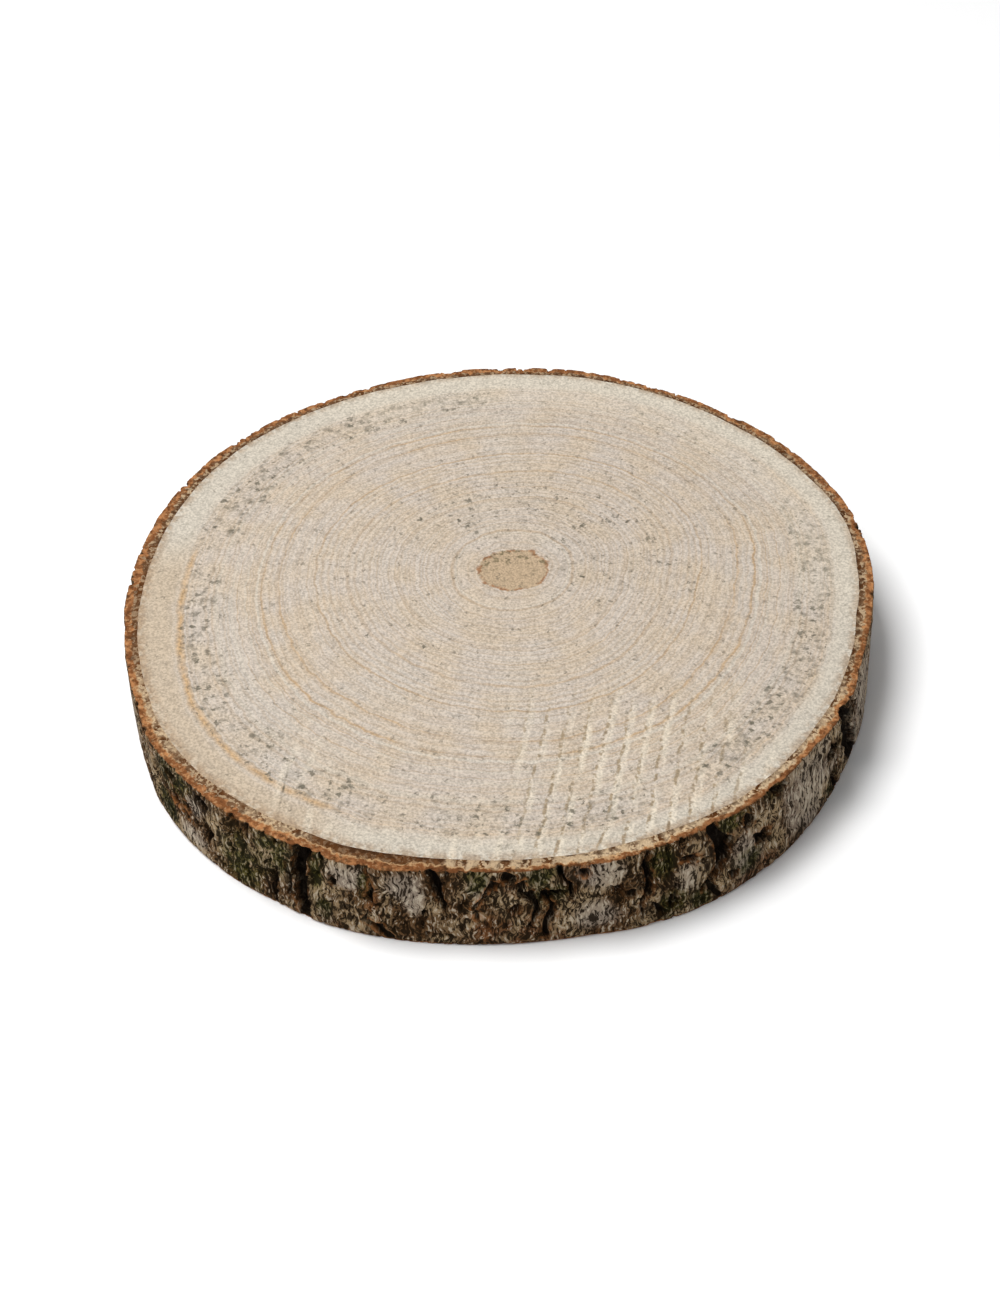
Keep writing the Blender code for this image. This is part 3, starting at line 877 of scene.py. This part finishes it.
# Pale rings: place, width and strength.
PALE_RINGS = (
    (0.160, 0.006, 0.5), (0.704, 0.006, 0.7), (0.735, 0.005, 0.5), (0.772, 0.006, 0.4), (0.815, 0.007, 0.5)
)
GOLD_RING = 0.905
CRACK_X = -0.0534 + TRUNK_MIDDLE[0]
STREAK_X = -0.0549 + TRUNK_MIDDLE[0]
CRACK_LEAN = 0.11

WOOD_BASE = shade("B7ACA0")
WOOD_WARM = shade("B9A994")
WOOD_COOL = shade("B6ADA2")
RING_BROWN = shade("9C866C")
RING_GOLD = shade("B08A57")
SAPWOOD_PALE = shade("B9B1A3")
STAINED_BEIGE = shade("B0A08B")
SPECK_GREY = shade("565244")
PITH_TAN = shade("AB957A")
PITH_DARK = shade("75684F")
PITH_RUST = shade("84552F")
# The saw marks' painted highlight, also used for pale streaks, and their painted shade.
SAW_PALE_AND_HIGHLIGHT = shade("D0C5B2")
SAW_SHADE = shade("8C7B62")
EDGE_BROWN = shade("8C7154")


def add_rings(nodes, own, ring):
    """The wood's ground colour with its rings and sapwood."""
    colour = nodes.tint(WOOD_BASE, WOOD_WARM, nodes.mottled(own, 70.0, 0.35, 0.65), 0.7)
    cool = nodes.times(nodes.mottled(own, 45.0, 0.48, 0.7), 0.5)
    colour = nodes.mix(nodes.larger(cool, nodes.mask("cool_patch")), colour, WOOD_COOL)

    # Faint rings everywhere, from noise that changes only from ring to ring.
    ring_place = nodes.add("ShaderNodeCombineXYZ", {0: ring}).outputs[0]
    colour = nodes.tint(colour, RING_BROWN, nodes.mottled(ring_place, 110.0, 0.44, 0.60, 3.0), 0.36)

    # Past the outermost gold ring the sapwood is pale, or beige on the stained side.
    band = nodes.mix(nodes.mask("stained_side"), SAPWOOD_PALE, STAINED_BEIGE)
    colour = nodes.tint(colour, band, nodes.ramp(ring, 0.895, 0.945), 0.9)

    broken = nodes.mottled(own, 150.0, 0.32, 0.6, 3.0)
    dark_lines = 0.0
    gold_lines = 0.0
    for place, width, dark, gold in RINGS:
        line = nodes.line_at(ring, place, width)
        dark_lines = nodes.plus(dark_lines, nodes.times(line, dark))
        gold_lines = nodes.plus(gold_lines, nodes.times(line, gold))
    dark_lines = nodes.times(dark_lines, nodes.ramp(broken, 0.0, 1.0, 0.4, 1.0))
    colour = nodes.tint(colour, RING_BROWN, dark_lines, 0.95)
    gold_lines = nodes.times(gold_lines, nodes.mottled(own, 26.0, 0.42, 0.6))
    colour = nodes.tint(colour, RING_GOLD, gold_lines, 0.5)
    pale_lines = 0.0
    for place, width, strength in PALE_RINGS:
        pale_lines = nodes.plus(pale_lines, nodes.line_at(ring, place, width, strength))
    colour = nodes.tint(colour, SAPWOOD_PALE, pale_lines, 0.85)

    # The gold ring at the edge of the sapwood, broad on the stained side.
    gold_side = nodes.mask("gold_side")
    gold_width = nodes.ramp(gold_side, 0.2, 1.0, 0.006, 0.013)
    gold_strength = nodes.times(gold_side, nodes.ramp(broken, 0.0, 1.0, 0.6, 1.0))
    gold_ring = nodes.line_at(ring, GOLD_RING, gold_width, gold_strength)
    return nodes.tint(colour, RING_GOLD, gold_ring, 0.72)


def add_saw_marks(nodes, own, colour):
    """Saw marks in painted light: a highlight on their crests, where raised fibres catch it, and dotted
    shade beside them.
    """
    turn = nodes.times(nodes.mask("saw_phase"), 2 * math.pi)
    drawn = nodes.stretched(own, (1.0, 0.2, 1.0), SAW_LEAN)
    # Painted highlight along the crests of the saw marks.
    crest = nodes.times(nodes.ramp(nodes.math("COSINE", turn), -0.2, 1.0), nodes.mask("saw_marks"))
    crest = nodes.times(crest, nodes.mottled(drawn, 210.0, 0.38, 0.62, 3.0))
    colour = nodes.tint(colour, SAW_PALE_AND_HIGHLIGHT, crest, 0.66)
    # Painted shade in dotted lines beside the crests.
    beside = nodes.plus(nodes.plus(turn, 1.1), nodes.stray(own, 160.0, 3.0, 3.0))
    dotted_shade = nodes.times(nodes.ramp(nodes.math("COSINE", beside), 0.7, 1.0), nodes.mask("saw_lines"))
    dotted_shade = nodes.times(dotted_shade, nodes.mottled(own, 520.0, 0.42, 0.6, 3.0))
    return nodes.tint(colour, SAW_SHADE, dotted_shade, 0.92)


def add_crack(nodes, own, x, y, colour):
    """A short crack by the saw marks of the stained side, with a pale streak along it."""
    beside = nodes.plus(x, nodes.times(y, -CRACK_LEAN))
    there = nodes.mask("cracked")
    streak = nodes.line_at(beside, STREAK_X, 1.5 * MM, there)
    colour = nodes.tint(colour, SAW_PALE_AND_HIGHLIGHT, streak, 0.3)
    dotted = nodes.ramp(nodes.mottled(own, 520.0, 0.42, 0.6, 3.0), 0.0, 1.0, 0.35, 0.9)
    return nodes.tint(colour, SPECK_GREY, nodes.line_at(beside, CRACK_X, 0.6 * MM, there), dotted)


def add_pith(nodes, own, y, ring, colour):
    """The tan pith, darker on its far part, with a rusty line round it."""
    place = nodes.plus(ring, nodes.stray(own, 650.0, 2.0, 0.018))
    far_part = nodes.ramp(y, 0.010, 0.018, 0.25, 1.0)
    tan = nodes.tint(PITH_TAN, PITH_DARK, nodes.mottled(own, 620.0, 0.5, 0.66, 3.0), far_part)
    colour = nodes.mix(nodes.ramp(place, PITH_SIZE + 0.003, PITH_SIZE - 0.006), colour, tan)
    line = nodes.line_at(place, PITH_SIZE - 0.004, 0.009)
    rust = nodes.times(line, nodes.mottled(own, 330.0, 0.45, 0.6))
    return nodes.tint(colour, PITH_RUST, rust, 0.75)


def speck_mask(nodes, own, x, y, z, share):
    """Grey specks of mould and pores, not the same on both faces."""
    slid = nodes.times(z, 3.7)
    place = nodes.add("ShaderNodeCombineXYZ", {0: nodes.plus(x, slid), 1: nodes.minus(y, slid)}).outputs[0]
    fine = nodes.speckled(place, 560.0, 0.46, nodes.ramp(share, 0.0, 1.0, 0.20, 0.80), 0.28)
    fine = nodes.times(fine, nodes.ramp(share, 0.1, 0.5, 0.50, 0.66))
    coarse = nodes.speckled(place, 330.0, 0.47, nodes.ramp(share, 0.22, 1.0, 0.0, 0.95), 0.3)
    dust = nodes.times(nodes.mottled(own, 900.0, 0.58, 0.72, 3.0), nodes.ramp(share, 0.0, 0.8, 0.3, 0.8))
    return nodes.larger(nodes.larger(fine, nodes.times(coarse, 0.88)), nodes.times(dust, 0.5))


def wood_material():
    """Dry sawn end grain: rings, saw marks in painted highlight and shade, grey specks, a tan pith and pale
    sapwood.
    """
    material, nodes, shader, own = new_material("sawn_wood")
    x, y, z = nodes.add("ShaderNodeSeparateXYZ", {0: own}).outputs
    ring = nodes.plus(nodes.mask("ring"), nodes.stray(own, 220.0, 4.0, 0.020))
    colour = add_rings(nodes, own, ring)
    colour = add_saw_marks(nodes, own, colour)
    colour = add_crack(nodes, own, x, y, colour)
    colour = add_pith(nodes, own, y, ring, colour)

    share = nodes.mask("speck_share")
    specks = speck_mask(nodes, own, x, y, z, share)
    colour = nodes.mix(specks, colour, SPECK_GREY)
    smudge = nodes.times(nodes.mottled(own, 330.0, 0.52, 0.7, 3.0), nodes.ramp(share, 0.3, 1.0))
    colour = nodes.tint(colour, SPECK_GREY, smudge, 0.55)
    stained = nodes.times(nodes.mask("edge_stain"), nodes.mottled(own, 420.0, 0.36, 0.56, 3.0))
    colour = nodes.tint(colour, EDGE_BROWN, stained, 0.65)
    colour = nodes.tint(colour, SAW_PALE_AND_HIGHLIGHT, nodes.mask("bright_side"), 0.20)

    # Raised grain: fine light and dark fuzz.
    fuzz = nodes.noise(own, 1450.0, 3.0)
    light = nodes.ramp(fuzz, 0.3, 0.7, 0.77, 1.21)
    light = nodes.add("ShaderNodeCombineColor", {0: light, 1: light, 2: light}).outputs[0]
    nodes.put(shader["Base Color"], nodes.mix(1.0, colour, light, "MULTIPLY"))
    nodes.put(shader["Roughness"], nodes.ramp(fuzz, 0.2, 0.8, 0.78, 0.92))
    shader["Specular IOR Level"].default_value = 0.25
    add_bump(nodes, shader, nodes.minus(fuzz, nodes.times(specks, 0.4)), 0.25 * MM, 0.6)
    return material


# ----------------------------------------------------------------
# Bark

BARK_DARK = shade("20160A")
BARK_BROWN = shade("60462C")
BARK_TAN = shade("9A8363")
BARK_ASH = shade("C2B5A0")
GREY_PLATE = shade("A09486")
MOSS_DARK = shade("191706")
MOSS_GREEN = shade("4F4A20")
RUSTY_BROWN = shade("6A4328")
RAW_ORANGE = shade("9A6438")
# Painted shade: the near-black of the fissures' depths.
FISSURE_SHADE = shade("110B06")
PHLOEM_BROWN = shade("583519")
PHLOEM_CREAM = shade("C4AB8A")
RIM_ORANGE = shade("AC774C")
RIM_UMBER = shade("784B2B")
RIM_STRAW = shade("BE9A70")
RIM_RUST = shade("6A4125")
CAMBIUM_DARK = shade("3E2614")


def side_colour(nodes, own, bent, strands):
    """The rough side: pale flaky crests, painted shade in hollows and fissures, grey plates, rust and moss.
    """
    grey = nodes.mask("grey_plate")
    moss = nodes.mask("moss")
    scaly = nodes.stretched(bent, (1.0, 1.0, 0.42))
    scales = nodes.add(
        "ShaderNodeTexVoronoi", {"Vector": scaly, "Scale": 420.0}, feature="DISTANCE_TO_EDGE"
    ).outputs["Distance"]
    seams = nodes.times(nodes.ramp(scales, 0.085, 0.02), nodes.mottled(own, 260.0, 0.40, 0.56, 3.0))
    # Painted shade: recesses of the relief lower the crest value, so they take the dark colour below.
    crest = nodes.minus(strands, nodes.times(nodes.mask("recess_shade"), 0.18))
    crest = nodes.minus(crest, nodes.times(seams, 0.12))
    # The smooth grey plates have fine upright ridges.
    upright = nodes.stretched(bent, (1.0, 1.0, 0.07))
    crest = nodes.plus(crest, nodes.times(nodes.stray(upright, 1000.0, 2.0, 1.0), nodes.times(grey, 0.85)))

    body = nodes.mix(nodes.mottled(own, 80.0, 0.42, 0.62, 3.0), BARK_BROWN, BARK_TAN)
    body = nodes.tint(body, GREY_PLATE, grey, 0.65)
    rust = nodes.times(nodes.mask("rusty"), nodes.mottled(own, 240.0, 0.38, 0.6, 3.0))
    body = nodes.tint(body, RUSTY_BROWN, rust, 0.7)
    green = nodes.times(moss, nodes.mottled(own, 300.0, 0.32, 0.54, 4.0))
    body = nodes.tint(body, MOSS_GREEN, green, 0.9)
    low = nodes.plus(nodes.minus(0.46, nodes.times(grey, 0.05)), nodes.times(moss, 0.04))
    dark = nodes.ramp(crest, low, nodes.minus(low, 0.10))
    shadow_colour = nodes.mix(moss, BARK_DARK, MOSS_DARK)
    colour = nodes.tint(body, shadow_colour, dark, 0.95)
    pale = nodes.ramp(crest, 0.50, 0.60)
    colour = nodes.tint(colour, BARK_ASH, pale, nodes.ramp(moss, 0.0, 1.0, 0.75, 0.35))

    shaded = nodes.times(nodes.mask("shaded"), nodes.ramp(strands, 0.62, 0.46, 0.35, 1.0))
    colour = nodes.tint(colour, shadow_colour, shaded, 0.8)
    raw = nodes.times(nodes.mask("raw_bark"), nodes.mottled(own, 420.0, 0.42, 0.6, 3.0))
    colour = nodes.tint(colour, RAW_ORANGE, raw, 0.85)
    # Painted shade: fissures and hollows turn near-black for the dark of their depths.
    return nodes.tint(colour, FISSURE_SHADE, nodes.mask("fissure_shade"), 0.96)


def rim_colour(nodes, own, out, ragged):
    """The sawn end of the bark: fibres against the wood, a pale line, then a crumbly orange edge."""
    cream = nodes.mask("creamy_side")
    patch = nodes.times(nodes.mottled(own, 260.0, 0.35, 0.6), nodes.ramp(cream, 0.0, 1.0, 0.15, 0.9))
    fibre = nodes.mottled(own, 860.0, 0.48, 0.56, 2.0)
    granules = nodes.times(fibre, nodes.ramp(cream, 0.0, 1.0, 0.75, 1.0))
    browned = nodes.ramp(nodes.mask("brown_side"), 0.0, 1.0, 1.0, 0.25)
    pale_share = nodes.times(nodes.larger(granules, patch), browned)
    pale_share = nodes.larger(pale_share, nodes.mask("rim_checks"))
    phloem = nodes.mix(pale_share, PHLOEM_BROWN, PHLOEM_CREAM)
    orange = nodes.mix(nodes.mottled(own, 480.0, 0.36, 0.58, 4.0), RIM_ORANGE, RIM_UMBER)
    orange = nodes.tint(orange, RIM_STRAW, nodes.mottled(own, 800.0, 0.54, 0.66, 3.0), 0.5)
    orange = nodes.tint(orange, RIM_RUST, nodes.mask("umber_edge"), 0.75)
    edge_place = nodes.plus(out, nodes.times(ragged, 1.15))
    band_place = nodes.minus(edge_place, nodes.times(nodes.mask("wide_cream"), 0.22))
    rim = nodes.mix(nodes.ramp(band_place, 0.42, 0.58), phloem, orange)
    rim = nodes.mix(nodes.line_at(band_place, 0.50, 0.14, nodes.mask("pale_line")), rim, RIM_STRAW)
    rim = nodes.tint(rim, CAMBIUM_DARK, nodes.mottled(own, 560.0, 0.56, 0.64, 3.0), 0.55)
    wear = nodes.times(nodes.ramp(edge_place, 0.8, 1.1), nodes.mottled(own, 300.0, 0.50, 0.60, 3.0))
    rim = nodes.tint(rim, BARK_DARK, wear, 0.6)
    line = nodes.times(nodes.ramp(edge_place, 0.26, 0.08), nodes.mask("dark_edge"))
    line = nodes.times(line, nodes.mottled(own, 360.0, 0.40, 0.52, 3.0))
    return nodes.tint(rim, CAMBIUM_DARK, line, 0.9)


def bark_material():
    """Rough bark: grey-brown strands and plates, fissures in painted black shade, orange raw bark and moss.
    """
    material, nodes, shader, own = new_material("rough_bark")
    # Strands run up the trunk, bent by a slow swirl.
    bent = nodes.drifted(own, 150.0, 0.0062)
    strands = nodes.noise(nodes.stretched(bent, (1.0, 1.0, 0.16)), 1100.0, 3.0, 0.62)
    out = nodes.mask("out_of_wood")
    ragged = nodes.stray(own, 420.0, 3.0, 1.0)
    side_place = nodes.plus(out, nodes.times(ragged, 0.5))
    rim = rim_colour(nodes, own, out, ragged)
    side = side_colour(nodes, own, bent, strands)
    nodes.put(shader["Base Color"], nodes.mix(nodes.ramp(side_place, 1.15, 1.55), rim, side))
    nodes.put(shader["Roughness"], nodes.ramp(strands, 0.3, 0.7, 0.95, 0.8))
    shader["Specular IOR Level"].default_value = 0.05
    add_bump(nodes, shader, strands, 1.0 * MM, 0.9)
    return material


# ----------------------------------------------------------------
# Floor, light and camera

FLOOR_SIZE = 12.0
FLOOR_GREYS = (shade("F2F2F2"), shade("F4F4F4"))
LAMP_PLACE = Vector((-0.41, -0.02, 1.25))
LAMP_SIZE = 0.56
LAMP_POWER = 16.8
STUDIO_BRIGHT = 0.64
STUDIO_DIM = 0.10
LENS = 85.0
SENSOR = 36.0
CAMERA_ELEVATION = math.radians(42.5)
CAMERA_DISTANCE = 0.93637
CAMERA_AIM = Vector((0.0004 + TRUNK_MIDDLE[0], -0.0232 + TRUNK_MIDDLE[1], THICKNESS))


def stand(name, data, place, towards):
    """Puts a lamp or a camera at a place, pointing along a direction."""
    holder = bpy.data.objects.new(name, data)
    holder.location = place
    holder.rotation_euler = towards.to_track_quat("-Z", "Y").to_euler()
    bpy.context.scene.collection.objects.link(holder)
    return holder


def make_floor():
    """A plain pale floor."""
    bpy.ops.mesh.primitive_plane_add(size=FLOOR_SIZE, location=(0.0, 0.0, 0.0))
    floor = bpy.context.object
    floor.name = "floor"
    material, nodes, shader, own = new_material("pale_floor")
    nodes.put(shader["Base Color"], nodes.mix(nodes.mottled(own, 3.0, 0.3, 0.7), *FLOOR_GREYS))
    shader["Roughness"].default_value = 0.9
    shader["Specular IOR Level"].default_value = 0.1
    floor.data.materials.append(material)


def make_light():
    """Soft studio light: a large lamp to the upper left, and an even pale surround."""
    world = bpy.data.worlds.new("studio")
    world.use_nodes = True
    nodes = Nodes(world.node_tree)
    way = nodes.add("ShaderNodeTexCoord").outputs["Generated"]
    way = nodes.add("ShaderNodeSeparateXYZ", {0: way}).outputs
    # The studio is dark high up on the right, which deepens the shadow beside the slice.
    dim = nodes.times(nodes.ramp(way["X"], 0.0, 0.4), nodes.ramp(way["Z"], 0.2, 0.5))
    background = world.node_tree.nodes["Background"].inputs
    background["Color"].default_value = (1.0, 1.0, 1.0, 1.0)
    nodes.put(background["Strength"], nodes.ramp(dim, 0.0, 1.0, STUDIO_BRIGHT, STUDIO_DIM))
    bpy.context.scene.world = world
    lamp = bpy.data.lights.new("key_lamp", "AREA")
    lamp.shape = "SQUARE"
    lamp.size = LAMP_SIZE
    lamp.energy = LAMP_POWER
    stand("key_lamp", lamp, LAMP_PLACE, -LAMP_PLACE)


def make_camera():
    """The camera, which looks down on the slice from the front."""
    camera = bpy.data.cameras.new("camera")
    camera.lens = LENS
    camera.sensor_width = SENSOR
    camera.sensor_height = SENSOR
    camera.sensor_fit = "AUTO"
    back = Vector((0.0, -math.cos(CAMERA_ELEVATION), math.sin(CAMERA_ELEVATION)))
    bpy.context.scene.camera = stand("camera", camera, CAMERA_AIM + back * CAMERA_DISTANCE, -back)


def fit_to_box(pieces):
    """Draws the pieces in or out a hair, so that their box is the CAD model's box."""
    low = np.min([piece.bound_box[0][:] for piece in pieces], axis=0)
    high = np.max([piece.bound_box[6][:] for piece in pieces], axis=0)
    for axis in (0, 1):
        scale = (CAD_HIGH[axis] - CAD_LOW[axis]) / (high[axis] - low[axis])
        shift = (CAD_HIGH[axis] + CAD_LOW[axis] - scale * (high[axis] + low[axis])) / 2
        for piece in pieces:
            values = np.zeros(len(piece.data.vertices) * 3, np.float32)
            piece.data.vertices.foreach_get("co", values)
            values[axis::3] = values[axis::3] * scale + shift
            piece.data.vertices.foreach_set("co", values)
            piece.data.update()


wood = make_wood(wood_material())
bark = make_bark(bark_material())
fit_to_box([wood, bark])
for piece, slot in ((wood, "sawn_wood"), (bark, "bark")):
    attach(piece, "root")
    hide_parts(NODE)

make_floor()
make_light()
make_camera()
bpy.context.scene.view_settings.view_transform = "Standard"
